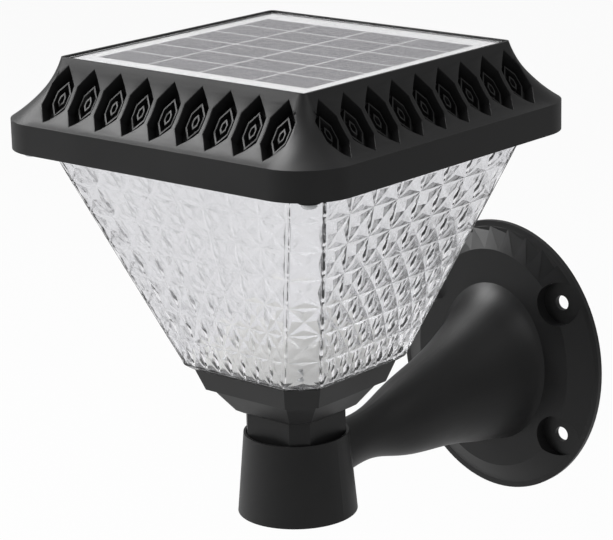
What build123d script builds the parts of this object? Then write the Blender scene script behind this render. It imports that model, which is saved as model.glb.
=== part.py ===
from build123d import *
from math import atan2, cos, hypot, pi, radians, sin, sqrt
import os

# Solar wall lantern, in millimetres. The wall is the plane y = 0, the origin is the centre of the wall
# plate's back, +Z is up and the lamp stands out from the wall towards -Y.

# ---- clearances
fit_gap = 0.1            # radial, between parts that turn or slide
seat_gap = 0.3           # around parts dropped into a recess
hole_gap = 0.15          # radial, around screw shanks

# ---- where the head stands
reach = 171.0            # wall to the head's vertical axis
head_rise = 152.0        # plate centre up to the underside of the roof band

# ---- roof
roof_half = 100.0        # half width over the band
roof_corner = 26.0       # radius of the band's corners
roof_height = 42.5
band_height = 14.2
crown_half = 75.5        # half width of the flat top
flare_radius = 80.0      # concave sweep of the four sides
flare_steps = 4
hip_round = 3.0          # corner radius at the crown
hip_least = 1.0          # and the least inside the wall
roof_wall = 3.0
crown_rim = 1.4          # thin rim around the panel
crown_skin = 2.5         # under the panel

# ---- vents, hexagonal wells with thin rings standing on their floors
vents_per_side = 9
vent_row_over = 0.7      # how far each row runs past the crown's sides
vent_bar = 2.6           # solid strip between neighbours
vent_margin = 4.9        # above and below, along the slope
vent_point = 8.5         # height of each pointed end
vent_rise = 0.95         # up the slope from its middle
vent_depth = 8.7
vent_wall = 0.8
# rings: outline against the vent's, and depth of the top edge
vent_rings = [(0.585, 7.3), (0.24, 7.6)]
ring_wall = 0.6

# ---- solar panel
tape_thick = 0.8
tape_width = 6.0
board_thick = 2.0
cell_thick = 0.3
cover_thick = 0.8
cover_sink = 0.9         # cover below the crown's rim
cell_columns = 4
cell_rows = 6
cell_long = 31.4
cell_short = 19.2
cell_gap = 1.1

# ---- tray, shade flange, seal and lamp carrier, stacked from below
tray_sink = 0.6          # tray's underside above the band's edge
tray_thick = 2.4
flange_thick = 2.0
flange_lap = 3.1         # how far the flange lies over the tray
seal_thick = 1.0
carrier_thick = 2.0

# ---- screws
pilot_spare = 0.5        # pilot holes go this much deeper than the screws
drive_width = 0.7        # cross slot in the heads
drive_span = 1.1         # its length against the head's radius

# ---- corner screws
corner_inset = 14.0      # in from the band's sides
corner_shank = 1.45
corner_head = 3.6
corner_head_high = 2.4
corner_boss = 5.0
corner_boss_drop = 2.6
corner_post = 4.2
corner_bite = 7.0        # thread length in the roof's posts

# ---- shade
ledge_wide = 14.8        # from the band's sides in to the shade
shade_leg = 11.7         # corner chamfer, measured along the sides
shade_foot_half = 44.4
shade_foot_leg = 12.6
shade_drop = 108.5       # down to the rim
shade_rim = 2.5
shade_rim_inset = 3.4
shade_wall = 2.6
shade_floor = 3.0

# ---- base, from the top down: half width, chamfer leg and depth below the shade
tier_half = 40.6
tier_leg = 12.2
tier_lip_half = 36.6
tier_lip_leg = 11.3
tier_lip_drop = 10.8
cove_top_half = 33.8
cove_top_leg = 10.6
cove_half = 31.2
cove_leg = 9.4
cove_drop = 14.2
cove_foot_half = 24.4
cove_foot_leg = 7.2
cove_foot_drop = 23.0
neck_half = 20.6
neck_leg = 7.2
neck_lip = 1.2           # small step where the cove meets the neck
neck_drop = 24.6
neck_show = 11.6         # neck in view above the collar
base_wall = 3.0
neck_bury = 4.6          # how far the neck goes down into the collar
spigot_radius = 22.0
spigot_length = 20.0
spigot_floor = 4.0

# ---- base screws and lock screw
base_screw_place = 26.0
base_screw_shank = 1.45
base_screw_head = 2.8
base_screw_head_high = 1.8
base_screw_bite = 9.0
base_post = 3.6
lock_shank = 2.5
lock_head = 4.6
lock_head_high = 3.2
lock_bite = 12.0
lock_boss = 6.0
washer_radius = 7.5
washer_thick = 1.2

# ---- lamp and charge circuit
lamp_half = 38.0
lamp_thick = 1.6
led_rows = 5
led_columns = 5
led_pitch = 13.0
led_long = 3.5
led_wide = 2.8
led_high = 0.8
small_screw_shank = 1.2
small_screw_head = 2.3
small_screw_head_high = 1.6
lamp_screw_place = 33.0
control_long = 60.0
control_wide = 36.0
control_y = -28.0
control_peg = 4.0        # height of the carrier's pegs
control_peg_radius = 2.6
control_inset = 4.0      # screw to board edge
# parts on the board: place from its middle, then size: long, wide, high
control_blocks = [
    (-6.0, 0.0, 6.0, 5.0, 1.6),
    (5.0, -5.0, 7.0, 7.0, 3.2),
    (-14.0, 13.0, 8.0, 5.6, 6.0),
    (0.0, 13.0, 8.0, 5.6, 6.0),
]
capacitor_x = 15.0
capacitor_y = 5.0
capacitor_radius = 3.2
capacitor_high = 8.0

# ---- battery
battery_radius = 9.2
battery_length = 65.0    # without the nub
nub_radius = 2.8
nub_long = 0.8
battery_y = 20.0
holder_floor = 1.6
holder_wall = 1.8
holder_lip = 2.0         # sides above the battery's axis
holder_end_room = 2.0    # each end, taken up by a contact
contact_thick = 0.5
contact_size = 12.0
contact_radius = 3.5

# ---- push switch on the tray's ledge, towards the wall
switch_inset = 7.5       # in from the band's side
switch_body_size = 7.2
switch_body_high = 6.6
switch_wall = 1.0
button_radius = 2.0
button_stand = 1.6       # below the tray
button_round = 0.5
button_travel = 1.2
button_flange = 0.9      # wider than the button, radially
button_flange_thick = 1.0
spring_wire = 0.4
spring_turns = 4
spring_room = 0.1        # left over the pressed button

# ---- bracket
plate_wide = 129.0
plate_high = 149.0
plate_lip = 3.0          # width of the flat lip
plate_lip_thick = 3.0
disc_wide = 98.0
disc_high = 121.0
disc_rise = 9.5
plate_wall = 3.0
room_behind = 0.5        # the plate's hollow starts this far behind the wall face
room_spread = 3.0        # and is this much wider there
wall_hole_x = 82.0       # spacing of the four wall screws
wall_hole_z = 73.0
wall_hole_radius = 4.0
pocket_radius = 11.5
pocket_wall = 2.5
pocket_floor = 3.0
pleat_count = 7          # saw-tooth pleats over the disc, between the upper pockets
pleat_from = 52.0
pleat_to = 128.0
pleat_depth = 2.6
collar_top_radius = 25.9
collar_foot_radius = 29.6
collar_high = 40.8
collar_web = 4.0
collar_foot_bore = 24.6
arm_wall = 3.0
# arm sections: distance from the wall, height of the centre, half height, half width
arm_sections = [
    (disc_rise - 0.8, -1.0, 44.6, 35.6),
    (disc_rise + 2.4, -2.6, 41.4, 32.6),
    (21.0, -4.9, 37.6, 29.4),
    (40.0, -7.4, 31.6, 24.8),
    (63.0, -9.5, 25.6, 20.4),
    (96.0, -11.8, 18.6, 15.4),
    (133.0, -13.2, 12.8, 11.6),
    (152.0, -13.4, 11.6, 10.8),
]

# ---- derived sizes, with heights measured from the band's underside
slope_run = roof_half - crown_half
slope_rise = roof_height - band_height
slope_length = hypot(slope_run, slope_rise)
vent_pitch = 2 * (crown_half + vent_row_over) / vents_per_side
vent_width = vent_pitch - vent_bar
vent_length = slope_length - 2 * vent_margin
vent_side = vent_length - 2 * vent_point
shade_half = roof_half - ledge_wide
switch_y = roof_half - switch_inset
tray_top = tray_sink + tray_thick
flange_top = tray_top + flange_thick
seal_top = flange_top + seal_thick
carrier_top = seal_top + carrier_thick
inner_half = roof_half - roof_wall
inner_corner = roof_corner - roof_wall
corner_place = roof_half - corner_inset
carrier_half = shade_half + flange_lap
shade_bottom = -shade_drop - shade_rim
mouth_z = shade_bottom - neck_drop - neck_show
spigot_top = mouth_z - neck_bury
web_top = spigot_top - spigot_length
recess_depth = tape_thick + board_thick + cell_thick + cover_thick + cover_sink
recess_half = crown_half - crown_rim
panel_half = recess_half - seat_gap
recess_floor = roof_height - recess_depth

head = Pos(0, -reach, head_rise)


def rod(radius, low, high, x=0.0, y=0.0):
    return Pos(x, y, low) * extrude(Circle(radius), amount=high - low)


def slab(shape, low, high):
    return Pos(0, 0, low) * extrude(shape, amount=high - low)


def block(long, wide, low, high, x=0.0, y=0.0):
    return Pos(x, y, low) * extrude(Rectangle(long, wide), amount=high - low)


def at_corners(place):
    return [(sx * place, sy * place) for sx in (-1, 1) for sy in (-1, 1)]


def clipped_square(half, leg):
    """Square with its four corners cut off at 45 degrees."""
    short = half - leg
    return Polygon(
        (half, -short), (half, short), (short, half), (-short, half),
        (-half, short), (-half, -short), (-short, -half), (short, -half), align=None)


def clipped_frustum(top, bottom):
    """Solid between two clipped squares, each given as height, half width and chamfer leg."""
    faces = [Pos(0, 0, z) * clipped_square(half, leg) for z, half, leg in (top, bottom)]
    return loft(faces, ruled=True)


def leg_inside(leg, wall):
    """Chamfer leg of a clipped square that lies a wall's thickness inside another."""
    return leg - wall * (2 - sqrt(2))


def screw(head_radius, head_high, shank_radius, length, x, y, z, up=1):
    """Pan-head screw whose head rests at z; the shank runs upwards, or downwards with up = -1."""
    pan = Pos(x, y, z - up * head_high / 2) * Cylinder(head_radius, head_high)
    crown = pan.faces().sort_by(Axis.Z)[0 if up > 0 else -1].edges()
    pan = fillet(crown, min(head_high * 0.6, head_radius * 0.4))
    span = head_radius * drive_span
    slots = Box(span, drive_width, head_high) + Box(drive_width, span, head_high)
    shank = Pos(x, y, z + up * length / 2) * Cylinder(shank_radius, length)
    return pan - Pos(x, y, z - up * head_high) * slots + shank


# ---- roof

def flare_centre():
    """Centre of the arc that sweeps from the crown's edge out to the band, seen from the side."""
    out = sqrt(flare_radius ** 2 - (slope_length / 2) ** 2)
    mid_x = (roof_half + crown_half) / 2
    mid_z = (band_height + roof_height) / 2
    return mid_x + slope_rise / slope_length * out, mid_z + slope_run / slope_length * out


def roof_form(inset, low, high):
    """The roof's outer form, or the same form set in by a wall; its corners tighten upwards."""
    cx, cz = flare_centre()
    radius = flare_radius + inset
    foot = cz - sqrt(radius ** 2 - (cx - roof_half + inset) ** 2)
    corner = roof_corner - inset
    form = slab(RectangleRounded(2 * (roof_half - inset), 2 * (roof_half - inset), corner), low, foot)
    sections = []
    for i in range(flare_steps + 1):
        z = foot + (high - foot) * i / flare_steps
        wide = 2 * (cx - sqrt(radius ** 2 - (z - cz) ** 2))
        part = (z - foot) / (roof_height - band_height)
        corner = max(roof_corner + (hip_round - roof_corner) * part - inset, hip_least)
        sections.append(Pos(0, 0, z) * RectangleRounded(wide, wide, corner))
    return form + loft(sections)


def hexagon(scale, wall=0.0):
    """A vent's outline, scaled, with a wall added on every side."""
    grow = scale + 2 * wall / vent_width
    long = vent_length / 2 * grow
    side = vent_side / 2 * grow
    wide = vent_width / 2 * grow
    return Polygon(
        (0, long), (-wide, side), (-wide, -side), (0, -long), (wide, -side), (wide, side), align=None)


def vent_plane(x):
    """Plane through the flare's chord on the front side, its normal pointing out and up."""
    run = slope_run / slope_length
    rise = slope_rise / slope_length
    mid_y = -(roof_half + crown_half) / 2 + vent_rise * run
    mid_z = (roof_height + band_height) / 2 + vent_rise * rise
    return Plane(origin=(x, mid_y, mid_z), x_dir=(1, 0, 0), z_dir=(0, -rise, run))


def vent_side_row():
    """Cups that stand inside one side of the roof, and the wells cut into them."""
    cup = Pos(0, 0, -vent_depth - vent_wall) * extrude(hexagon(1, vent_wall), amount=vent_depth)
    well = Pos(0, 0, -vent_depth) * extrude(hexagon(1), amount=2 * vent_depth)
    for scale, sink in vent_rings:
        ring = hexagon(scale) - hexagon(scale, -ring_wall)
        well = well - Pos(0, 0, -vent_depth - 1) * extrude(ring, amount=vent_depth + 1 - sink)
    places = [vent_pitch * (i - (vents_per_side - 1) / 2) for i in range(vents_per_side)]
    cups = [vent_plane(x) * cup for x in places]
    wells = [vent_plane(x) * well for x in places]
    return cups, wells


def make_roof():
    outer = roof_form(0, 0, roof_height)
    # the room inside goes around the vents' cups and the screw posts
    room = roof_form(roof_wall, -1, recess_floor - crown_skin)
    cups, wells = vent_side_row()
    for quarter in range(4):
        room = room - [Rot(0, 0, 90 * quarter) * cup for cup in cups]
    for x, y in at_corners(corner_place):
        room = room - rod(corner_post, carrier_top, roof_height, x, y)
    roof = outer - room
    for quarter in range(4):
        roof = roof - [Rot(0, 0, 90 * quarter) * well for well in wells]
    roof = roof - block(2 * recess_half, 2 * recess_half, recess_floor, roof_height + 1)
    pilot_top = carrier_top + corner_bite + pilot_spare
    for x, y in at_corners(corner_place):
        roof = roof - rod(corner_shank, carrier_top - 1, pilot_top, x, y)
    return roof


# ---- solar panel

def make_panel():
    low = recess_floor
    ring = Rectangle(2 * panel_half, 2 * panel_half)
    ring = ring - Rectangle(2 * (panel_half - tape_width), 2 * (panel_half - tape_width))
    tape = slab(ring, low, low + tape_thick)
    board_low = low + tape_thick
    board = block(2 * panel_half, 2 * panel_half, board_low, board_low + board_thick)
    cell_low = board_low + board_thick
    cells = []
    for column in range(cell_columns):
        for row in range(cell_rows):
            x = (column - (cell_columns - 1) / 2) * (cell_long + cell_gap)
            y = (row - (cell_rows - 1) / 2) * (cell_short + cell_gap)
            cells.append(block(cell_long, cell_short, cell_low, cell_low + cell_thick, x, y))
    cover_low = cell_low + cell_thick
    cover = block(2 * panel_half, 2 * panel_half, cover_low, cover_low + cover_thick)
    return tape, board, Compound(cells), cover


# ---- tray, seal and carrier

def flange_plan():
    """Outline shared by the shade's flange and the lamp carrier, with an ear at each corner."""
    plan = Rectangle(2 * carrier_half, 2 * carrier_half)
    for x, y in at_corners(corner_place):
        plan = plan + Pos(x, y) * Circle(corner_boss)
    return plan


def make_tray():
    half = inner_half - seat_gap
    plan = RectangleRounded(2 * half, 2 * half, inner_corner - seat_gap)
    plan = plan - clipped_square(shade_half + seat_gap, shade_leg)
    tray = slab(plan, tray_sink, tray_top)
    for x, y in at_corners(corner_place):
        tray = tray + rod(corner_boss, tray_sink - corner_boss_drop, tray_sink, x, y)
    for x, y in at_corners(corner_place):
        tray = tray - rod(corner_shank + hole_gap, -10, 10, x, y)
    return tray - rod(button_radius + fit_gap, -1, tray_top + 1, 0, switch_y)


def make_corner_screws():
    seat = tray_sink - corner_boss_drop
    length = carrier_top + corner_bite - seat
    return Compound([
        screw(corner_head, corner_head_high, corner_shank, length, x, y, seat)
        for x, y in at_corners(corner_place)
    ])


def make_seal():
    inner = shade_half - shade_wall
    plan = Rectangle(2 * carrier_half, 2 * carrier_half) - clipped_square(inner, shade_leg)
    seal = slab(plan, flange_top, seal_top)
    for x, y in at_corners(corner_place):
        seal = seal - rod(corner_boss, flange_top - 1, seal_top + 1, x, y)
    return seal


def control_pegs():
    dx = control_long / 2 - control_inset
    dy = control_wide / 2 - control_inset
    return [(sx * dx, control_y + sy * dy) for sx in (-1, 1) for sy in (-1, 1)]


def make_carrier():
    carrier = slab(flange_plan(), seal_top, carrier_top)
    for x, y in control_pegs():
        carrier = carrier + rod(control_peg_radius, carrier_top, carrier_top + control_peg, x, y)
    for x, y in control_pegs():
        carrier = carrier - rod(small_screw_shank, seal_top - 1, carrier_top + control_peg + 1, x, y)
    for x, y in at_corners(corner_place):
        carrier = carrier - rod(corner_shank + hole_gap, 0, carrier_top + 1, x, y)
    for x, y in at_corners(lamp_screw_place):
        carrier = carrier - rod(small_screw_shank, 0, carrier_top + 1, x, y)
    return carrier


# ---- shade

def make_shade():
    foot = (-shade_drop, shade_foot_half, shade_foot_leg)
    neck = slab(clipped_square(shade_half, shade_leg), 0, flange_top)
    pyramid = clipped_frustum((0, shade_half, shade_leg), foot)
    rim = clipped_frustum(foot, (shade_bottom, shade_foot_half - shade_rim_inset, shade_foot_leg))
    flange = slab(flange_plan(), tray_top, flange_top)
    inner_top = shade_half - shade_wall
    inner_leg = leg_inside(shade_leg, shade_wall)
    floor_z = shade_bottom + shade_floor
    lean = (shade_half - shade_foot_half) / shade_drop
    inner_foot = shade_foot_half + lean * (shade_drop + floor_z) - shade_wall * hypot(1, lean)
    inner_foot_leg = leg_inside(shade_foot_leg, shade_wall)
    hollow = clipped_frustum((0, inner_top, inner_leg), (floor_z, inner_foot, inner_foot_leg))
    bore = slab(clipped_square(inner_top, inner_leg), 0, flange_top + 1)
    shade = neck + pyramid + rim + flange - hollow - bore
    for x, y in at_corners(corner_place):
        shade = shade - rod(corner_shank + hole_gap, 0, flange_top + 1, x, y)
    for x, y in at_corners(base_screw_place):
        shade = shade - rod(base_screw_shank + hole_gap, shade_bottom - 1, floor_z + 1, x, y)
    return shade


# ---- base

def make_base():
    levels = [
        (shade_bottom, tier_half, tier_leg),
        (shade_bottom - tier_lip_drop, tier_lip_half, tier_lip_leg),
        (shade_bottom - tier_lip_drop, cove_top_half, cove_top_leg),
        (shade_bottom - cove_drop, cove_half, cove_leg),
        (shade_bottom - cove_foot_drop, cove_foot_half, cove_foot_leg),
        (shade_bottom - neck_drop, neck_half + neck_lip, neck_leg),
        (shade_bottom - neck_drop, neck_half, neck_leg),
        (spigot_top, neck_half, neck_leg),
    ]
    base = rod(spigot_radius, web_top, spigot_top)
    for upper, lower in zip(levels, levels[1:]):
        if upper[0] > lower[0]:
            base = base + clipped_frustum(upper, lower)
    lip_z = shade_bottom - tier_lip_drop
    upper_room = clipped_frustum(
        (shade_bottom + 1, tier_half - base_wall, leg_inside(tier_leg, base_wall)),
        (lip_z, tier_lip_half - base_wall, leg_inside(tier_lip_leg, base_wall)))
    lower_room = clipped_frustum(
        (lip_z, cove_half - base_wall, leg_inside(cove_leg, base_wall)),
        (shade_bottom - cove_foot_drop, neck_half - base_wall, leg_inside(neck_leg, base_wall)))
    bore = rod(neck_half - base_wall, web_top + spigot_floor, lip_z)
    post_low = shade_bottom - base_screw_bite - base_wall
    for x, y in at_corners(base_screw_place):
        post = rod(base_post, post_low, shade_bottom + 1, x, y)
        upper_room = upper_room - post
        lower_room = lower_room - post
    base = base - upper_room - lower_room - bore
    base = base + rod(lock_boss, web_top, web_top + lock_bite)
    pilot_low = shade_bottom - base_screw_bite - pilot_spare
    for x, y in at_corners(base_screw_place):
        base = base - rod(base_screw_shank, pilot_low, shade_bottom + 1, x, y)
    return base - rod(lock_shank, web_top - 1, web_top + lock_bite + 1)


def make_base_screws():
    seat = shade_bottom + shade_floor
    length = shade_floor + base_screw_bite
    return Compound([
        screw(base_screw_head, base_screw_head_high, base_screw_shank, length, x, y, seat, up=-1)
        for x, y in at_corners(base_screw_place)
    ])


def make_lock():
    seat = web_top - collar_web
    washer = rod(washer_radius, seat - washer_thick, seat)
    washer = washer - rod(lock_shank + hole_gap, seat - washer_thick - 1, seat + 1)
    length = washer_thick + collar_web + lock_bite - 1
    bolt = screw(lock_head, lock_head_high, lock_shank, length, 0, 0, seat - washer_thick)
    return bolt, washer


# ---- lamp, circuit and battery

def small_screw(length, x, y, z, up=1):
    return screw(small_screw_head, small_screw_head_high, small_screw_shank, length, x, y, z, up)


def make_lamp():
    low = seal_top - lamp_thick
    board = slab(RectangleRounded(2 * lamp_half, 2 * lamp_half, 4), low, seal_top)
    for x, y in at_corners(lamp_screw_place):
        board = board - rod(small_screw_shank + hole_gap, low - 1, seal_top + 1, x, y)
    leds = []
    for row in range(led_rows):
        for column in range(led_columns):
            x = (column - (led_columns - 1) / 2) * led_pitch
            y = (row - (led_rows - 1) / 2) * led_pitch
            leds.append(block(led_long, led_wide, low - led_high, low, x, y))
    length = lamp_thick + carrier_thick
    screws = [small_screw(length, x, y, low) for x, y in at_corners(lamp_screw_place)]
    return board, Compound(leds), Compound(screws)


def make_control():
    low = carrier_top + control_peg
    top = low + lamp_thick
    board = block(control_long, control_wide, low, top, 0, control_y)
    for x, y in control_pegs():
        board = board - rod(small_screw_shank + hole_gap, low - 1, top + 1, x, y)
    length = control_peg + lamp_thick
    screws = [small_screw(length, x, y, top, up=-1) for x, y in control_pegs()]
    parts = [
        block(long, wide, top, top + high, x, control_y + y)
        for x, y, long, wide, high in control_blocks
    ]
    parts.append(
        rod(capacitor_radius, top, top + capacitor_high, capacitor_x, control_y + capacitor_y))
    return board, Compound(parts), Compound(screws)


def make_battery():
    axis_z = carrier_top + holder_floor + battery_radius
    axis = Pos(0, battery_y, axis_z) * Rot(0, 90, 0)
    cell = axis * Cylinder(battery_radius, battery_length)
    cell = cell + axis * Pos(0, 0, (battery_length + nub_long) / 2) * Cylinder(nub_radius, nub_long)
    room_long = battery_length + nub_long + 2 * holder_end_room
    room_wide = 2 * (battery_radius + fit_gap)
    room_x = nub_long / 2
    outer_long = room_long + 2 * holder_wall
    outer_wide = room_wide + 2 * holder_wall
    holder = block(outer_long, outer_wide, carrier_top, axis_z + holder_lip, room_x, battery_y)
    room = block(room_long, room_wide, axis_z, axis_z + 2 * battery_radius, room_x, battery_y)
    trough = axis * Pos(0, 0, room_x) * Cylinder(battery_radius + fit_gap, room_long)
    holder = holder - room - trough
    contacts = []
    for side in (-1, 1):
        wall_x = room_x + side * room_long / 2
        plate = Pos(wall_x - side * contact_thick / 2, battery_y, axis_z) * Box(
            contact_thick, contact_size, contact_size)
        bump_long = holder_end_room - contact_thick
        bump_x = wall_x - side * (contact_thick + bump_long / 2)
        contacts.append(plate + axis * Pos(0, 0, bump_x) * Cylinder(contact_radius, bump_long))
    return cell, holder, Compound(contacts)


# ---- push switch

def make_switch():
    body = block(switch_body_size, switch_body_size, tray_top, tray_top + switch_body_high, 0, switch_y)
    room_top = tray_top + switch_body_high - switch_wall
    collar = button_radius + button_flange
    body = body - rod(collar + fit_gap, tray_top - 1, room_top, 0, switch_y)
    button = rod(button_radius, tray_sink - button_stand, tray_top, 0, switch_y)
    cap_edge = button.faces().sort_by(Axis.Z)[0].edges()
    button = fillet(cap_edge, button_round)
    button = button + rod(collar, tray_top, tray_top + button_flange_thick, 0, switch_y)
    coil_low = tray_top + button_flange_thick + button_travel + spring_room
    coil_radius = button_radius - spring_wire / 2
    height = room_top - coil_low - spring_wire
    path = Helix(pitch=height / spring_turns, height=height, radius=coil_radius)
    start = Plane(origin=path @ 0, z_dir=path % 0)
    coil = sweep(start * Circle(spring_wire / 2), path=path)
    coil = Pos(0, switch_y, coil_low + spring_wire / 2) * coil
    return body, button, coil


# ---- bracket

def oval(wide, high, from_wall, shift=0.0):
    """Upright oval parallel to the wall; wide and high are full sizes."""
    plane = Plane(origin=(0, -from_wall, shift), x_dir=(1, 0, 0), z_dir=(0, -1, 0))
    return plane * Ellipse(wide / 2, high / 2)


def wall_plate():
    """Flat lip, sloping side and raised disc, still solid."""
    lip = extrude(oval(plate_wide, plate_high, 0), amount=plate_lip_thick)
    shoulder = oval(plate_wide - 2 * plate_lip, plate_high - 2 * plate_lip, plate_lip_thick)
    disc = oval(disc_wide, disc_high, disc_rise)
    return lip + loft([shoulder, disc], ruled=True)


def on_oval(wide, high, from_wall, angle):
    return (wide / 2 * cos(radians(angle)), -from_wall, high / 2 * sin(radians(angle)))


def pleat_cutters():
    """One thin tetrahedron per pleat; it deepens towards the next pleat, like a saw's teeth."""
    cutters = []
    step = (pleat_to - pleat_from) / pleat_count
    wide = plate_wide - 2 * plate_lip
    high = plate_high - 2 * plate_lip
    for i in range(pleat_count):
        start = pleat_from + i * step
        inner = on_oval(disc_wide, disc_high, disc_rise, start)
        first = on_oval(wide, high, plate_lip_thick, start)
        second = on_oval(wide, high, plate_lip_thick, start + step)
        sunk = on_oval(wide - 2 * pleat_depth, high - 2 * pleat_depth, plate_lip_thick, start)
        # a corner well clear of the plate, so that the cutter's outside cuts nothing
        lift = on_oval(wide + plate_lip, high + plate_lip, 2 * plate_lip_thick, start + step / 2)
        corners = [Vector(*p) for p in (inner, first, second, sunk, lift)]
        a, b, c, d, e = corners
        lower = [(a, d, c), (a, d, b), (d, b, c)]
        upper = [(a, b, e), (b, c, e), (c, a, e)]
        shell = Shell([Face(Wire.make_polygon(list(t), close=True)) for t in lower + upper])
        cutters.append(Solid(shell))
    return cutters


def arm_loft(inset, first=0, last=None):
    faces = []
    for from_wall, centre, half_high, half_wide in arm_sections[first:last]:
        faces.append(oval(2 * (half_wide - inset), 2 * (half_high - inset), from_wall, centre))
    return loft(faces)


def make_bracket():
    plate = wall_plate()
    pockets = [(sx * wall_hole_x / 2, sz * wall_hole_z / 2) for sx in (-1, 1) for sz in (-1, 1)]
    out = Plane(origin=(0, 0, 0), x_dir=(1, 0, 0), z_dir=(0, -1, 0))
    back_rim = 2 * (plate_lip + plate_wall) - room_spread
    room = loft([
        oval(plate_wide - back_rim, plate_high - back_rim, -room_behind),
        oval(disc_wide - 2 * plate_wall, disc_high - 2 * plate_wall, disc_rise - plate_wall),
    ], ruled=True)
    for x, z in pockets:
        spot = out * Pos(x, z, -2 * room_behind)
        room = room - spot * extrude(Circle(pocket_radius + pocket_wall), amount=2 * disc_rise)
    collar_centre = Pos(0, -reach, 0)
    collar_top = head_rise + mouth_z
    collar_low = collar_top - collar_high
    collar = collar_centre * Pos(0, 0, collar_low + collar_high / 2) * Cone(
        collar_foot_radius, collar_top_radius, collar_high)
    arm = arm_loft(0)
    bracket = plate + arm + collar
    hollow = arm_loft(arm_wall, 0, -1)
    mouth = arm_sections[0]
    throat = extrude(
        oval(2 * (mouth[3] - arm_wall), 2 * (mouth[2] - arm_wall), -1, mouth[1]),
        amount=mouth[0] + 1.01)
    bracket = bracket - room - hollow - throat
    bracket = bracket - pleat_cutters()
    for x, z in pockets:
        spot = out * Pos(x, z)
        well = Pos(0, 0, pocket_floor) * extrude(Circle(pocket_radius), amount=2 * disc_rise)
        hole = Pos(0, 0, -1) * extrude(Circle(wall_hole_radius), amount=pocket_floor + 2)
        bracket = bracket - spot * well - spot * hole
    web_high = head_rise + web_top
    web_low = web_high - collar_web
    neck_radius = hypot(neck_half, neck_half - neck_leg) + fit_gap
    mouth_low = head_rise + spigot_top - fit_gap
    bores = rod(neck_radius, mouth_low, collar_top + 1)
    bores = bores + rod(spigot_radius + fit_gap, web_high, mouth_low + 1)
    bores = bores + rod(collar_foot_bore, collar_low - 1, web_low)
    bores = bores + rod(lock_shank + fit_gap, web_low - 1, web_high + 1)
    return bracket - collar_centre * bores


def write(name, shape, place=None):
    if place is not None:
        shape = place * shape
    if not isinstance(shape, Compound):
        shape = Compound([shape])
    export_step(shape, os.path.join("parts", name + ".step"))
    print(name, len(shape.solids()), round(shape.volume, 1))


def main():
    os.makedirs("parts", exist_ok=True)
    tape, board, cells, cover = make_panel()
    bolt, washer = make_lock()
    lamp_board, leds, lamp_screws = make_lamp()
    control_board, control_parts, control_screws = make_control()
    battery, holder, contacts = make_battery()
    switch_body, button, spring = make_switch()
    head_parts = {
        "roof_cap": make_roof(),
        "panel_tape": tape,
        "solar_panel": board,
        "solar_cells": cells,
        "panel_cover": cover,
        "tray": make_tray(),
        "corner_screws": make_corner_screws(),
        "shade_seal": make_seal(),
        "lamp_carrier": make_carrier(),
        "diffuser": make_shade(),
        "base": make_base(),
        "base_screws": make_base_screws(),
        "lock_screw": bolt,
        "lock_washer": washer,
        "led_board": lamp_board,
        "leds": leds,
        "board_screws": lamp_screws,
        "control_board": control_board,
        "control_parts": control_parts,
        "control_screws": control_screws,
        "battery": battery,
        "battery_holder": holder,
        "battery_contacts": contacts,
        "switch_body": switch_body,
        "switch_button": button,
        "switch_spring": spring,
    }
    for name, shape in head_parts.items():
        write(name, shape, head)
    write("wall_bracket", make_bracket())


main()
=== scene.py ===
import math

import bmesh
import bpy
from mathutils import Matrix, Vector


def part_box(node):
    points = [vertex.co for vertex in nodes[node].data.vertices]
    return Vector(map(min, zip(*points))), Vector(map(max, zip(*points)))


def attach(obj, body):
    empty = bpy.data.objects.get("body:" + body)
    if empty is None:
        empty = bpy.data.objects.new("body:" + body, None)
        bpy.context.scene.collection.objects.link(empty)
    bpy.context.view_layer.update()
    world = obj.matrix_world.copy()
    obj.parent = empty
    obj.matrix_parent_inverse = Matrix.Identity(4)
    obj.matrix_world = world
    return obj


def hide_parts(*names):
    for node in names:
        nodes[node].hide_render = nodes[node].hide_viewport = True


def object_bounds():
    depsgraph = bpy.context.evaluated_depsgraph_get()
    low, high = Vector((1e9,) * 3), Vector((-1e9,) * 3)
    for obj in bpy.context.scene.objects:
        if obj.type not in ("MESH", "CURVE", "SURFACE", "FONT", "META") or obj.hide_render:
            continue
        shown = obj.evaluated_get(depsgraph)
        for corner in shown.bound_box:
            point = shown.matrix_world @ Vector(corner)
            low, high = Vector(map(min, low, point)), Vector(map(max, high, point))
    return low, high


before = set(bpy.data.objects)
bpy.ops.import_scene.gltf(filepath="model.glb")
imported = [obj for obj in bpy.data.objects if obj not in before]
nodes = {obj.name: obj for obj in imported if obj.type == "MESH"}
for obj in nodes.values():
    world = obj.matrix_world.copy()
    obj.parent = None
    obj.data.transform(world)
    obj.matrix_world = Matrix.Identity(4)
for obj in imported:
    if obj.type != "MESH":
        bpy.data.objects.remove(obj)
startBounds = [list(corner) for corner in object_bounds()]
print("frame loaded:", len(nodes), "nodes")

# the lantern's upright axis and the underside of the roof's band
lampLow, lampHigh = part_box("led_board")
headX = (lampLow.x + lampHigh.x) / 2
headY = (lampLow.y + lampHigh.y) / 2
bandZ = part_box("roof_cap")[0].z


# camera

cameraValues = {
    "turn": 40.13,
    "rise": 15.67,
    "roll": -1.16,
    "place": (0.77809, -1.06027, 0.41844),
    "lens": 149.5,
    "shiftX": -0.0501,
    "shiftY": -0.0044,
}


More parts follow.
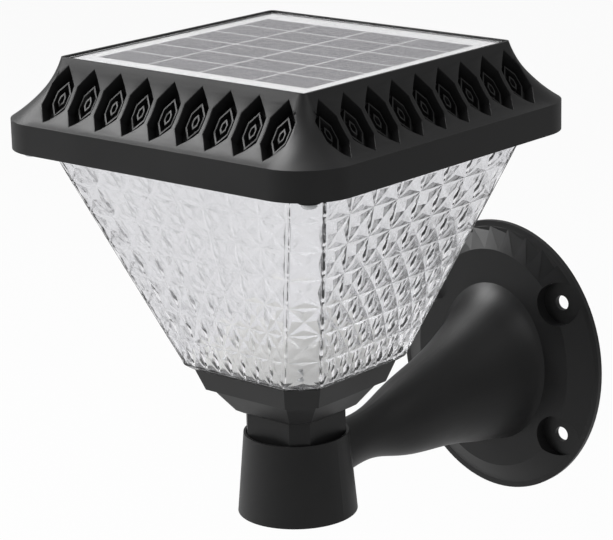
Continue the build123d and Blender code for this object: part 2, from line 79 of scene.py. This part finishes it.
def makeCamera(values):
    turn = math.radians(values["turn"])
    rise = math.radians(values["rise"])
    roll = math.radians(values["roll"])
    back = Vector((math.sin(turn) * math.cos(rise), -math.cos(turn) * math.cos(rise), math.sin(rise)))
    right = Vector((math.cos(turn), math.sin(turn), 0))
    up = back.cross(right)
    axisX = math.cos(roll) * right + math.sin(roll) * up
    axisY = -math.sin(roll) * right + math.cos(roll) * up
    cameraData = bpy.data.cameras.new("camera")
    camera = bpy.data.objects.new("camera", cameraData)
    bpy.context.scene.collection.objects.link(camera)
    place = values["place"]
    camera.matrix_world = Matrix((
        (axisX.x, axisY.x, back.x, place[0]),
        (axisX.y, axisY.y, back.y, place[1]),
        (axisX.z, axisY.z, back.z, place[2]),
        (0, 0, 0, 1),
    ))
    cameraData.sensor_width = 36
    cameraData.lens = values["lens"]
    cameraData.shift_x = values["shiftX"]
    cameraData.shift_y = values["shiftY"]
    cameraData.clip_start = 0.05
    cameraData.clip_end = 20
    bpy.context.scene.camera = camera


makeCamera(cameraValues)
print("camera placed")


# helpers for node trees

def newMaterial(name):
    material = bpy.data.materials.new(name)
    material.use_nodes = True
    shader = next(n for n in material.node_tree.nodes if n.type == "BSDF_PRINCIPLED")
    return material, material.node_tree.nodes, material.node_tree.links, shader


def setSockets(shader, values):
    for socket, value in values.items():
        shader.inputs[socket].default_value = value


def objectPoints(treeNodes, links, scale=(1, 1, 1), place=(0, 0, 0)):
    coords = treeNodes.new("ShaderNodeTexCoord")
    mapping = treeNodes.new("ShaderNodeMapping")
    mapping.inputs["Scale"].default_value = scale
    mapping.inputs["Location"].default_value = place
    links.new(coords.outputs["Object"], mapping.inputs["Vector"])
    return mapping.outputs["Vector"]


def noiseFrom(treeNodes, links, points, scale, detail=3.0, rough=0.5):
    noise = treeNodes.new("ShaderNodeTexNoise")
    noise.inputs["Scale"].default_value = scale
    noise.inputs["Detail"].default_value = detail
    noise.inputs["Roughness"].default_value = rough
    links.new(points, noise.inputs["Vector"])
    return noise.outputs["Fac"]


def stretched(treeNodes, links, value, low, high):
    ramp = treeNodes.new("ShaderNodeMapRange")
    ramp.inputs["From Min"].default_value = 0.3
    ramp.inputs["From Max"].default_value = 0.7
    ramp.inputs["To Min"].default_value = low
    ramp.inputs["To Max"].default_value = high
    links.new(value, ramp.inputs["Value"])
    return ramp.outputs["Result"]


def blended(treeNodes, links, factor, first, second):
    mix = treeNodes.new("ShaderNodeMix")
    mix.data_type = "RGBA"
    mix.inputs["A"].default_value = (*first, 1)
    mix.inputs["B"].default_value = (*second, 1)
    links.new(factor, mix.inputs["Factor"])
    return mix.outputs["Result"]


def bumped(treeNodes, links, shader, height, distance, strength=1.0):
    bump = treeNodes.new("ShaderNodeBump")
    bump.inputs["Strength"].default_value = strength
    bump.inputs["Distance"].default_value = distance
    links.new(height, bump.inputs["Height"])
    links.new(bump.outputs["Normal"], shader.inputs["Normal"])


# finishes

def mouldedPlastic(name, values):
    material, treeNodes, links, shader = newMaterial(name)
    setSockets(shader, values["sockets"])
    points = objectPoints(treeNodes, links)
    clouds = noiseFrom(treeNodes, links, points, values["cloudScale"], 2.0)
    share = stretched(treeNodes, links, clouds, 0, 1)
    colour = blended(treeNodes, links, share, values["dark"], values["light"])
    links.new(colour, shader.inputs["Base Color"])
    rough = stretched(treeNodes, links, clouds, *values["roughness"])
    links.new(rough, shader.inputs["Roughness"])
    grain = noiseFrom(treeNodes, links, points, values["grainScale"], 2.0)
    bumped(treeNodes, links, shader, grain, values["grainDepth"])
    return material


blackValues = {
    "dark": (0.007, 0.007, 0.0073),
    "light": (0.01, 0.01, 0.0103),
    "roughness": (0.42, 0.5),
    "cloudScale": 35.0,
    "grainScale": 2600.0,
    "grainDepth": 0.00002,
    "sockets": {"Specular IOR Level": 0.38, "IOR": 1.46},
}
roofBlack = mouldedPlastic("roof_black", blackValues)
baseBlack = mouldedPlastic("base_black", {**blackValues, "roughness": (0.38, 0.46)})
bracketBlack = mouldedPlastic("bracket_black", {**blackValues, "roughness": (0.4, 0.48)})
innerBlack = mouldedPlastic("inner_black", {**blackValues, "roughness": (0.5, 0.6)})
buttonRubber = mouldedPlastic("button_rubber", {
    **blackValues,
    "dark": (0.03, 0.03, 0.032),
    "light": (0.045, 0.045, 0.047),
    "roughness": (0.6, 0.75),
})
whitePlastic = mouldedPlastic("white_plastic", {
    **blackValues,
    "dark": (0.72, 0.72, 0.7),
    "light": (0.8, 0.8, 0.78),
    "roughness": (0.35, 0.45),
})
circuitWhite = mouldedPlastic("circuit_white", {
    **blackValues,
    "dark": (0.74, 0.75, 0.74),
    "light": (0.8, 0.8, 0.79),
    "roughness": (0.3, 0.4),
    "grainScale": 900.0,
})
circuitGreen = mouldedPlastic("circuit_green", {
    **blackValues,
    "dark": (0.01, 0.09, 0.03),
    "light": (0.02, 0.13, 0.045),
    "roughness": (0.25, 0.35),
    "cloudScale": 260.0,
    "grainScale": 900.0,
})
carrierGrey = mouldedPlastic("carrier_grey", {
    **blackValues,
    "dark": (0.12, 0.12, 0.12),
    "light": (0.16, 0.16, 0.16),
})
chipBlack = mouldedPlastic("chip_black", {**blackValues, "roughness": (0.55, 0.65), "grainScale": 4000.0})
batteryBlue = mouldedPlastic("battery_blue", {
    **blackValues,
    "dark": (0.02, 0.08, 0.32),
    "light": (0.03, 0.1, 0.38),
    "roughness": (0.25, 0.35),
})
foam = mouldedPlastic("foam", {
    **blackValues,
    "dark": (0.05, 0.05, 0.052),
    "light": (0.09, 0.09, 0.092),
    "roughness": (0.85, 0.95),
    "grainScale": 1200.0,
    "grainDepth": 0.0002,
})


def platedMetal(name, values):
    material, treeNodes, links, shader = newMaterial(name)
    setSockets(shader, {"Metallic": 1.0, "Base Color": (*values["colour"], 1)})
    points = objectPoints(treeNodes, links)
    patches = noiseFrom(treeNodes, links, points, values["patchScale"])
    links.new(stretched(treeNodes, links, patches, *values["roughness"]), shader.inputs["Roughness"])
    bumped(treeNodes, links, shader, patches, values["depth"])
    return material


steel = platedMetal("steel", {
    "colour": (0.56, 0.57, 0.58),
    "patchScale": 420.0,
    "roughness": (0.22, 0.36),
    "depth": 0.00002,
})
contactMetal = platedMetal("contact_metal", {
    "colour": (0.72, 0.68, 0.58),
    "patchScale": 300.0,
    "roughness": (0.25, 0.4),
    "depth": 0.00002,
})

panelValues = {
    "board": (0.7, 0.7, 0.71),
    "boardShade": (0.66, 0.66, 0.67),
    "cellDark": (0.018, 0.017, 0.028),
    "cellLight": (0.028, 0.026, 0.042),
    "fingerPitch": 0.0016,
    "waveRepeats": 3.2,
    "fingerColour": (0.09, 0.09, 0.1, 1),
    "fingerFrom": 0.93,
    "fibreScale": 240.0,
    "fibreDepth": 0.00003,
    "crystalScale": 60.0,
    "flatRoughness": 0.6,
    "glazeRippleScale": 18.0,
    "glazeRippleDepth": 0.00002,
    "coverRoughness": 0.06,
    "coverIor": 1.5,
}


def makePanelWhite(values):
    material, treeNodes, links, shader = newMaterial("panel_white")
    points = objectPoints(treeNodes, links)
    fibres = noiseFrom(treeNodes, links, points, values["fibreScale"])
    share = stretched(treeNodes, links, fibres, 0, 1)
    links.new(blended(treeNodes, links, share, values["boardShade"], values["board"]), shader.inputs["Base Color"])
    setSockets(shader, {"Roughness": values["flatRoughness"], "Specular IOR Level": 0.0})
    bumped(treeNodes, links, shader, fibres, values["fibreDepth"])
    return material


def makeCellBlue(values):
    material, treeNodes, links, shader = newMaterial("cell_blue")
    points = objectPoints(treeNodes, links)
    crystals = noiseFrom(treeNodes, links, points, values["crystalScale"], 4.0, 0.6)
    share = stretched(treeNodes, links, crystals, 0, 1)
    silicon = blended(treeNodes, links, share, values["cellDark"], values["cellLight"])
    fingers = treeNodes.new("ShaderNodeTexWave")
    fingers.wave_type = "BANDS"
    fingers.bands_direction = "X"
    # the wave node repeats about 3.2 times per unit of scale
    fingers.inputs["Scale"].default_value = 1 / (values["waveRepeats"] * values["fingerPitch"])
    fingers.inputs["Distortion"].default_value = 0
    links.new(points, fingers.inputs["Vector"])
    lines = treeNodes.new("ShaderNodeMapRange")
    lines.inputs["From Min"].default_value = values["fingerFrom"]
    lines.inputs["From Max"].default_value = 1.0
    links.new(fingers.outputs["Fac"], lines.inputs["Value"])
    mix = treeNodes.new("ShaderNodeMix")
    mix.data_type = "RGBA"
    mix.inputs["B"].default_value = values["fingerColour"]
    links.new(lines.outputs["Result"], mix.inputs["Factor"])
    links.new(silicon, mix.inputs["A"])
    links.new(mix.outputs["Result"], shader.inputs["Base Color"])
    setSockets(shader, {"Roughness": values["flatRoughness"], "Specular IOR Level": 0.0})
    return material


def passLamps(treeNodes, links, shader):
    # lamps and soft light reach what lies behind the clear piece
    rays = treeNodes.new("ShaderNodeLightPath")
    either = treeNodes.new("ShaderNodeMath")
    either.operation = "MAXIMUM"
    links.new(rays.outputs["Is Shadow Ray"], either.inputs[0])
    links.new(rays.outputs["Is Diffuse Ray"], either.inputs[1])
    through = treeNodes.new("ShaderNodeBsdfTransparent")
    mix = treeNodes.new("ShaderNodeMixShader")
    links.new(either.outputs[0], mix.inputs["Fac"])
    links.new(shader.outputs["BSDF"], mix.inputs[1])
    links.new(through.outputs["BSDF"], mix.inputs[2])
    output = next(n for n in treeNodes if n.type == "OUTPUT_MATERIAL")
    links.new(mix.outputs["Shader"], output.inputs["Surface"])


def makePanelClear(values):
    material, treeNodes, links, shader = newMaterial("panel_clear")
    setSockets(shader, {
        "Base Color": (1, 1, 1, 1),
        "Transmission Weight": 1.0,
        "IOR": values["coverIor"],
        "Roughness": values["coverRoughness"],
    })
    points = objectPoints(treeNodes, links)
    ripple = noiseFrom(treeNodes, links, points, values["glazeRippleScale"], 1.0)
    bumped(treeNodes, links, shader, ripple, values["glazeRippleDepth"])
    passLamps(treeNodes, links, shader)
    return material


panelWhite = makePanelWhite(panelValues)
cellBlue = makeCellBlue(panelValues)
panelClear = makePanelClear(panelValues)


ledValues = {
    "phosphorScale": 900.0,
    "dark": (0.82, 0.62, 0.12),
    "light": (0.9, 0.72, 0.2),
    "sockets": {"Roughness": 0.3, "Subsurface Weight": 0.2, "Subsurface Scale": 0.001},
}


def makeLedYellow(values):
    material, treeNodes, links, shader = newMaterial("led_yellow")
    points = objectPoints(treeNodes, links)
    phosphor = noiseFrom(treeNodes, links, points, values["phosphorScale"])
    share = stretched(treeNodes, links, phosphor, 0, 1)
    links.new(blended(treeNodes, links, share, values["dark"], values["light"]), shader.inputs["Base Color"])
    setSockets(shader, values["sockets"])
    return material


ledYellow = makeLedYellow(ledValues)

clearValues = {
    "tint": (0.86, 0.86, 0.875),
    "roughness": 0.1,
    "ior": 1.49,
    "rippleScale": 260.0,
    "rippleDepth": 0.00004,
}


def makeClearShade(values):
    material, treeNodes, links, shader = newMaterial("clear_shade")
    setSockets(shader, {
        "Base Color": (*values["tint"], 1),
        "Transmission Weight": 1.0,
        "IOR": values["ior"],
        "Roughness": values["roughness"],
    })
    ripple = noiseFrom(treeNodes, links, objectPoints(treeNodes, links), values["rippleScale"], 2.0)
    bumped(treeNodes, links, shader, ripple, values["rippleDepth"])
    passLamps(treeNodes, links, shader)
    return material


clearShade = makeClearShade(clearValues)

finishes = {
    "roof_cap": roofBlack,
    "base": baseBlack,
    "wall_bracket": bracketBlack,
    "tray": innerBlack,
    "lamp_carrier": carrierGrey,
    "switch_body": innerBlack,
    "switch_button": buttonRubber,
    "solar_panel": panelWhite,
    "solar_cells": cellBlue,
    "panel_cover": panelClear,
    "panel_tape": foam,
    "shade_seal": foam,
    "battery_holder": whitePlastic,
    "battery": batteryBlue,
    "battery_contacts": contactMetal,
    "led_board": circuitWhite,
    "leds": ledYellow,
    "control_board": circuitGreen,
    "control_parts": chipBlack,
    "corner_screws": steel,
    "base_screws": steel,
    "board_screws": steel,
    "control_screws": steel,
    "lock_screw": steel,
    "lock_washer": steel,
    "switch_spring": steel,
}


def dressNodes():
    for name, material in finishes.items():
        slots = nodes[name].data.materials
        if not slots:
            slots.append(material)
        for index in range(len(slots)):
            slots[index] = material


dressNodes()
print("CAD nodes dressed:", len(finishes))


# pieces made from a merged copy of a CAD mesh

copyValues = {
    "mergeWithin": 0.000002,
    "flatAngle": 0.5,
}


def mergedCopy(node):
    bm = bmesh.new()
    bm.from_mesh(nodes[node].data)
    bmesh.ops.remove_doubles(bm, verts=bm.verts, dist=copyValues["mergeWithin"])
    flat = math.radians(copyValues["flatAngle"])
    bmesh.ops.dissolve_limit(bm, angle_limit=flat, verts=bm.verts, edges=bm.edges)
    return bm


def standIn(bm, name, node, material, sharpAngle=None):
    mesh = bpy.data.meshes.new(name)
    bm.to_mesh(mesh)
    bm.free()
    if sharpAngle is not None:
        mesh.shade_smooth()
        mesh.set_sharp_from_angle(angle=math.radians(sharpAngle))
    piece = bpy.data.objects.new(name, mesh)
    bpy.context.scene.collection.objects.link(piece)
    mesh.materials.append(material)
    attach(piece, "head")
    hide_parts(node)
    return piece


def easeEdges(piece, values):
    bevel = piece.modifiers.new("eased", "BEVEL")
    bevel.width = values["ease"]
    bevel.segments = values["segments"]
    bevel.limit_method = "ANGLE"
    bevel.angle_limit = math.radians(values["sharpAngle"])
    bevel.harden_normals = True


# roof: vents drawn a little longer and deeper, rings raised, edges eased

roofValues = {
    "chordOut": 0.08775,
    "chordUp": 0.02835,
    "slope": 49.12,
    "reach": 0.0187,
    "full": 0.066,
    "end": 0.084,
    "slide": (-0.00066, 0.0022),
    "sink": (0.0021, -0.00143),
    "tip": 0.0138,
    "rings": {0.0073: 0.0050, 0.0076: 0.0052},
    "ringWithin": 0.00004,
    "outRange": (-0.0115, 0.001),
    "recessGap": 0.0005,
    "recessOut": -0.003,
    "lipTurn": 0.7,
    "lipReach": 0.0155,
    "lipEnd": 0.078,
    "lipOut": -0.0048,
    "lip": 0.0004,
    "lipSegments": 3,
    "ease": 0.0002,
    "segments": 2,
    "sharpAngle": 40,
}


def sideSpot(point, quarter, values):
    # place on one side of the roof: along it, up its slope and out of it
    turned = Matrix.Rotation(-quarter * math.pi / 2, 3, "Z") @ (point - Vector((headX, headY, bandZ)))
    slope = math.radians(values["slope"])
    back = turned.y + values["chordOut"]
    up = turned.z - values["chordUp"]
    along = back * math.cos(slope) + up * math.sin(slope)
    out = -back * math.sin(slope) + up * math.cos(slope)
    return turned.x, along, out


def fromSpot(spot, quarter, values):
    slope = math.radians(values["slope"])
    across, along, out = spot
    back = along * math.cos(slope) - out * math.sin(slope)
    up = along * math.sin(slope) + out * math.cos(slope)
    turned = Vector((across, back - values["chordOut"], up + values["chordUp"]))
    return Matrix.Rotation(quarter * math.pi / 2, 3, "Z") @ turned + Vector((headX, headY, bandZ))


def onSide(spot, values):
    across, along, out = spot
    low, high = values["outRange"]
    return abs(across) < values["end"] and abs(along) < values["reach"] and low < out < high


def bendSide(bm, quarter, values):
    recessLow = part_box("panel_tape")[0].z - values["recessGap"]
    for vert in bm.verts:
        spot = sideSpot(vert.co, quarter, values)
        inRecess = vert.co.z > recessLow and spot[2] < values["recessOut"]
        if inRecess or not onSide(spot, values):
            continue
        across, along, out = spot
        for depth, wanted in values["rings"].items():
            if abs(out + depth) < values["ringWithin"]:
                out = -wanted
        fade = (values["end"] - abs(across)) / (values["end"] - values["full"])
        fade = min(1, max(0, fade))
        fade = fade * fade * (3 - 2 * fade) * (1 - (along / values["reach"]) ** 2)
        share = along / values["tip"]
        slid = along + fade * (values["slide"][0] + values["slide"][1] * share)
        sunk = out - fade * (values["sink"][0] + values["sink"][1] * share)
        vert.co = fromSpot((across, slid, sunk), quarter, values)


def onLip(spot, values):
    across, along, out = spot
    return abs(along) < values["lipReach"] and abs(across) < values["lipEnd"] and values["lipOut"] < out < 0


def ventLips(bm, values):
    lips = []
    for edge in bm.edges:
        if len(edge.link_faces) != 2 or edge.calc_face_angle_signed() < values["lipTurn"]:
            continue
        for quarter in range(4):
            spots = [sideSpot(v.co, quarter, values) for v in edge.verts]
            if all(onLip(spot, values) for spot in spots):
                lips.append(edge)
                break
    return lips


def makeRoof(values):
    bm = mergedCopy("roof_cap")
    for quarter in range(4):
        bendSide(bm, quarter, values)
    bm.normal_update()
    lips = ventLips(bm, values)
    print("roof copy:", len(bm.faces), "faces,", len(lips), "lip edges")
    bmesh.ops.bevel(
        bm, geom=lips, offset=values["lip"], affect="EDGES", segments=values["lipSegments"],
        profile=0.5, material=-1)
    roof = standIn(bm, "vented_roof", "roof_cap", roofBlack, values["sharpAngle"])
    easeEdges(roof, values)


makeRoof(roofValues)
print("roof made")


# panel: cells thin enough for the white gaps to show at a low angle, cover just above them

panelPieceValues = {
    "cellStand": 0.00003,
    "coverLift": 0.00005,
}


def moveLevel(bm, box, upper, step):
    low, high = box
    middle = (low.z + high.z) / 2
    moved = [v for v in bm.verts if (v.co.z > middle) == upper]
    bmesh.ops.translate(bm, verts=moved, vec=(0, 0, step))


def makePanelPieces(values):
    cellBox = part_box("solar_cells")
    cells = mergedCopy("solar_cells")
    moveLevel(cells, cellBox, True, values["cellStand"] - (cellBox[1].z - cellBox[0].z))
    standIn(cells, "cell_sheets", "solar_cells", cellBlue)
    cover = mergedCopy("panel_cover")
    moveLevel(cover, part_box("panel_cover"), False, values["coverLift"])
    standIn(cover, "panel_glaze", "panel_cover", panelClear)


makePanelPieces(panelPieceValues)
print("panel pieces made")


# shade with its pressed star pattern

shadeValues = {
    "columns": 8,
    "rows": 7,
    "pitDepth": 0.0006,
    "middleDepth": 0.0001,
    "flattest": 0.2,
    "steepest": 0.75,
    "sideDrop": 0.1086,
    "slantRise": 0.01,
    "levelRise": 0.0005,
    "wideFace": 0.04,
    "cornerWithin": 0.0002,
    "cornerRise": 0.001,
    "topHalf": 0.0852,
    "topLeg": 0.0117,
    "footHalf": 0.0444,
    "footLeg": 0.0126,
    "drop": 0.1085,
    "cornerRound": 0.0012,
}


def edgeRise(edge):
    return abs(edge.verts[0].co.z - edge.verts[1].co.z)


def sideFaces(bm, values):
    found = []
    for face in bm.faces:
        centre = face.calc_center_median()
        outward = Vector((centre.x - headX, centre.y - headY, 0))
        if values["flattest"] < -face.normal.z < values["steepest"] and outward.dot(face.normal) > 0:
            if bandZ - values["sideDrop"] < centre.z < bandZ:
                found.append(face)
    return found


def onCorner(edge, values):
    # the slanting edges between the sides and the narrow corner faces
    if len(edge.link_faces) != 2:
        return False
    for vert in edge.verts:
        x = abs(vert.co.x - headX)
        y = abs(vert.co.y - headY)
        share = (bandZ - vert.co.z) / values["drop"]
        half = values["topHalf"] + (values["footHalf"] - values["topHalf"]) * share
        leg = values["topLeg"] + (values["footLeg"] - values["topLeg"]) * share
        near = abs(max(x, y) - half) + abs(min(x, y) - half + leg)
        if near > values["cornerWithin"] or not -0.001 < share < 1.001:
            return False
    return edgeRise(edge) > values["cornerRise"]


def makeShade(values):
    bm = mergedCopy("diffuser")
    slants = set()
    for face in sideFaces(bm, values):
        slants.update(e for e in face.edges if edgeRise(e) > values["slantRise"])
    bmesh.ops.subdivide_edges(bm, edges=list(slants), cuts=values["rows"] - 1, use_grid_fill=True)
    levels = set()
    for face in sideFaces(bm, values):
        longEdges = [e for e in face.edges if edgeRise(e) < values["levelRise"]]
        if max(e.calc_length() for e in longEdges) > values["wideFace"]:
            levels.update(longEdges)
    bmesh.ops.subdivide_edges(bm, edges=list(levels), cuts=values["columns"] - 1, use_grid_fill=True)
    cells = [f for f in sideFaces(bm, values) if len(f.verts) == 4]
    print("shade cells:", len(cells))
    quarters = bmesh.ops.poke(bm, faces=cells, offset=-values["middleDepth"], center_mode="MEAN")["faces"]
    bmesh.ops.poke(bm, faces=quarters, offset=-values["pitDepth"], center_mode="MEAN")
    bm.normal_update()
    corners = [e for e in bm.edges if onCorner(e, values)]
    print("shade corner edges:", len(corners))
    bmesh.ops.bevel(
        bm, geom=corners, offset=values["cornerRound"], affect="EDGES", segments=3, profile=0.5, material=-1)
    standIn(bm, "star_shade", "diffuser", clearShade)


makeShade(shadeValues)
print("shade made")


# white reflector sheet on the shade's floor

reflectorValues = {
    "half": 0.0385,
    "leg": 0.0108,
    "thick": 0.0003,
    "lift": 0.0001,
    "floor": 0.1080,
}


def makeReflector(values):
    bm = bmesh.new()
    bmesh.ops.create_grid(bm, x_segments=1, y_segments=1, size=values["half"])
    corners = list(bm.verts)
    bmesh.ops.bevel(
        bm, geom=corners, offset=values["leg"], affect="VERTICES", segments=1, profile=0.5, material=-1)
    low = bandZ - values["floor"] + values["lift"]
    bmesh.ops.translate(bm, verts=bm.verts, vec=(headX, headY, low))
    bmesh.ops.solidify(bm, geom=bm.faces, thickness=-values["thick"])
    bmesh.ops.recalc_face_normals(bm, faces=bm.faces)
    mesh = bpy.data.meshes.new("reflector")
    bm.to_mesh(mesh)
    bm.free()
    sheet = bpy.data.objects.new("reflector", mesh)
    bpy.context.scene.collection.objects.link(sheet)
    mesh.materials.append(whitePlastic)
    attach(sheet, "head")


makeReflector(reflectorValues)
print("reflector made")


# floor, world and lamps

studioValues = {
    "floorDrop": 0.22,
    "floorSize": 6.0,
    "floorAhead": -0.1,
    "floorWhite": 0.94,
    "floorSockets": {"Base Color": (0.5, 0.5, 0.5, 1), "Roughness": 0.9},
    "worldLevel": 0.4,
    "lamps": {
        "frontLamp": {"turn": -56, "rise": 36, "far": 2.0, "size": 1.2, "watts": 34},
        "leftLamp": {"turn": -85, "rise": 55, "far": 2.0, "size": 1.3, "watts": 40},
        "sideLamp": {"turn": 80, "rise": 35, "far": 1.6, "size": 0.8, "watts": 4},
    },
}


def whiteForView(treeNodes, links):
    # the backdrop is white to the eye, also through the clear shade
    rays = treeNodes.new("ShaderNodeLightPath")
    seen = treeNodes.new("ShaderNodeMath")
    seen.operation = "MAXIMUM"
    links.new(rays.outputs["Is Camera Ray"], seen.inputs[0])
    links.new(rays.outputs["Is Transmission Ray"], seen.inputs[1])
    return seen.outputs[0]


def makeFloor(values):
    bm = bmesh.new()
    bmesh.ops.create_grid(bm, x_segments=1, y_segments=1, size=values["floorSize"] / 2)
    low = startBounds[0][2] - values["floorDrop"]
    bmesh.ops.translate(bm, verts=bm.verts, vec=(0, values["floorAhead"], low))
    mesh = bpy.data.meshes.new("floor")
    bm.to_mesh(mesh)
    bm.free()
    floor = bpy.data.objects.new("floor", mesh)
    bpy.context.scene.collection.objects.link(floor)
    material, treeNodes, links, shader = newMaterial("floor_white")
    setSockets(shader, values["floorSockets"])
    glow = treeNodes.new("ShaderNodeEmission")
    glow.inputs["Strength"].default_value = 1.0
    share = treeNodes.new("ShaderNodeMath")
    share.operation = "MULTIPLY"
    share.inputs[1].default_value = values["floorWhite"]
    links.new(whiteForView(treeNodes, links), share.inputs[0])
    mix = treeNodes.new("ShaderNodeMixShader")
    links.new(share.outputs[0], mix.inputs["Fac"])
    links.new(shader.outputs["BSDF"], mix.inputs[1])
    links.new(glow.outputs["Emission"], mix.inputs[2])
    output = next(n for n in treeNodes if n.type == "OUTPUT_MATERIAL")
    links.new(mix.outputs["Shader"], output.inputs["Surface"])
    mesh.materials.append(material)


def makeWorld(values):
    world = bpy.data.worlds.new("studio")
    bpy.context.scene.world = world
    world.use_nodes = True
    treeNodes = world.node_tree.nodes
    links = world.node_tree.links
    output = next(n for n in treeNodes if n.type == "OUTPUT_WORLD")
    room = next(n for n in treeNodes if n.type == "BACKGROUND")
    room.inputs["Color"].default_value = (1, 1, 1, 1)
    room.inputs["Strength"].default_value = values["worldLevel"]
    white = treeNodes.new("ShaderNodeBackground")
    white.inputs["Color"].default_value = (1, 1, 1, 1)
    white.inputs["Strength"].default_value = 1.0
    mix = treeNodes.new("ShaderNodeMixShader")
    links.new(whiteForView(treeNodes, links), mix.inputs["Fac"])
    links.new(room.outputs["Background"], mix.inputs[1])
    links.new(white.outputs["Background"], mix.inputs[2])
    links.new(mix.outputs["Shader"], output.inputs["Surface"])


def makeLamp(name, values, target):
    turn = math.radians(values["turn"])
    rise = math.radians(values["rise"])
    away = Vector((math.sin(turn) * math.cos(rise), -math.cos(turn) * math.cos(rise), math.sin(rise)))
    light = bpy.data.lights.new(name, "AREA")
    light.shape = "SQUARE"
    light.size = values["size"]
    light.energy = values["watts"]
    lamp = bpy.data.objects.new(name, light)
    bpy.context.scene.collection.objects.link(lamp)
    lamp.location = target + away * values["far"]
    lamp.rotation_mode = "QUATERNION"
    lamp.rotation_quaternion = away.to_track_quat("Z", "Y")
    lamp.visible_camera = False


makeFloor(studioValues)
makeWorld(studioValues)
lampTarget = Vector((headX, headY, bandZ))
for lampName, lampValues in studioValues["lamps"].items():
    makeLamp(lampName, lampValues, lampTarget)
bpy.context.scene.view_settings.view_transform = "Standard"
print("studio made")
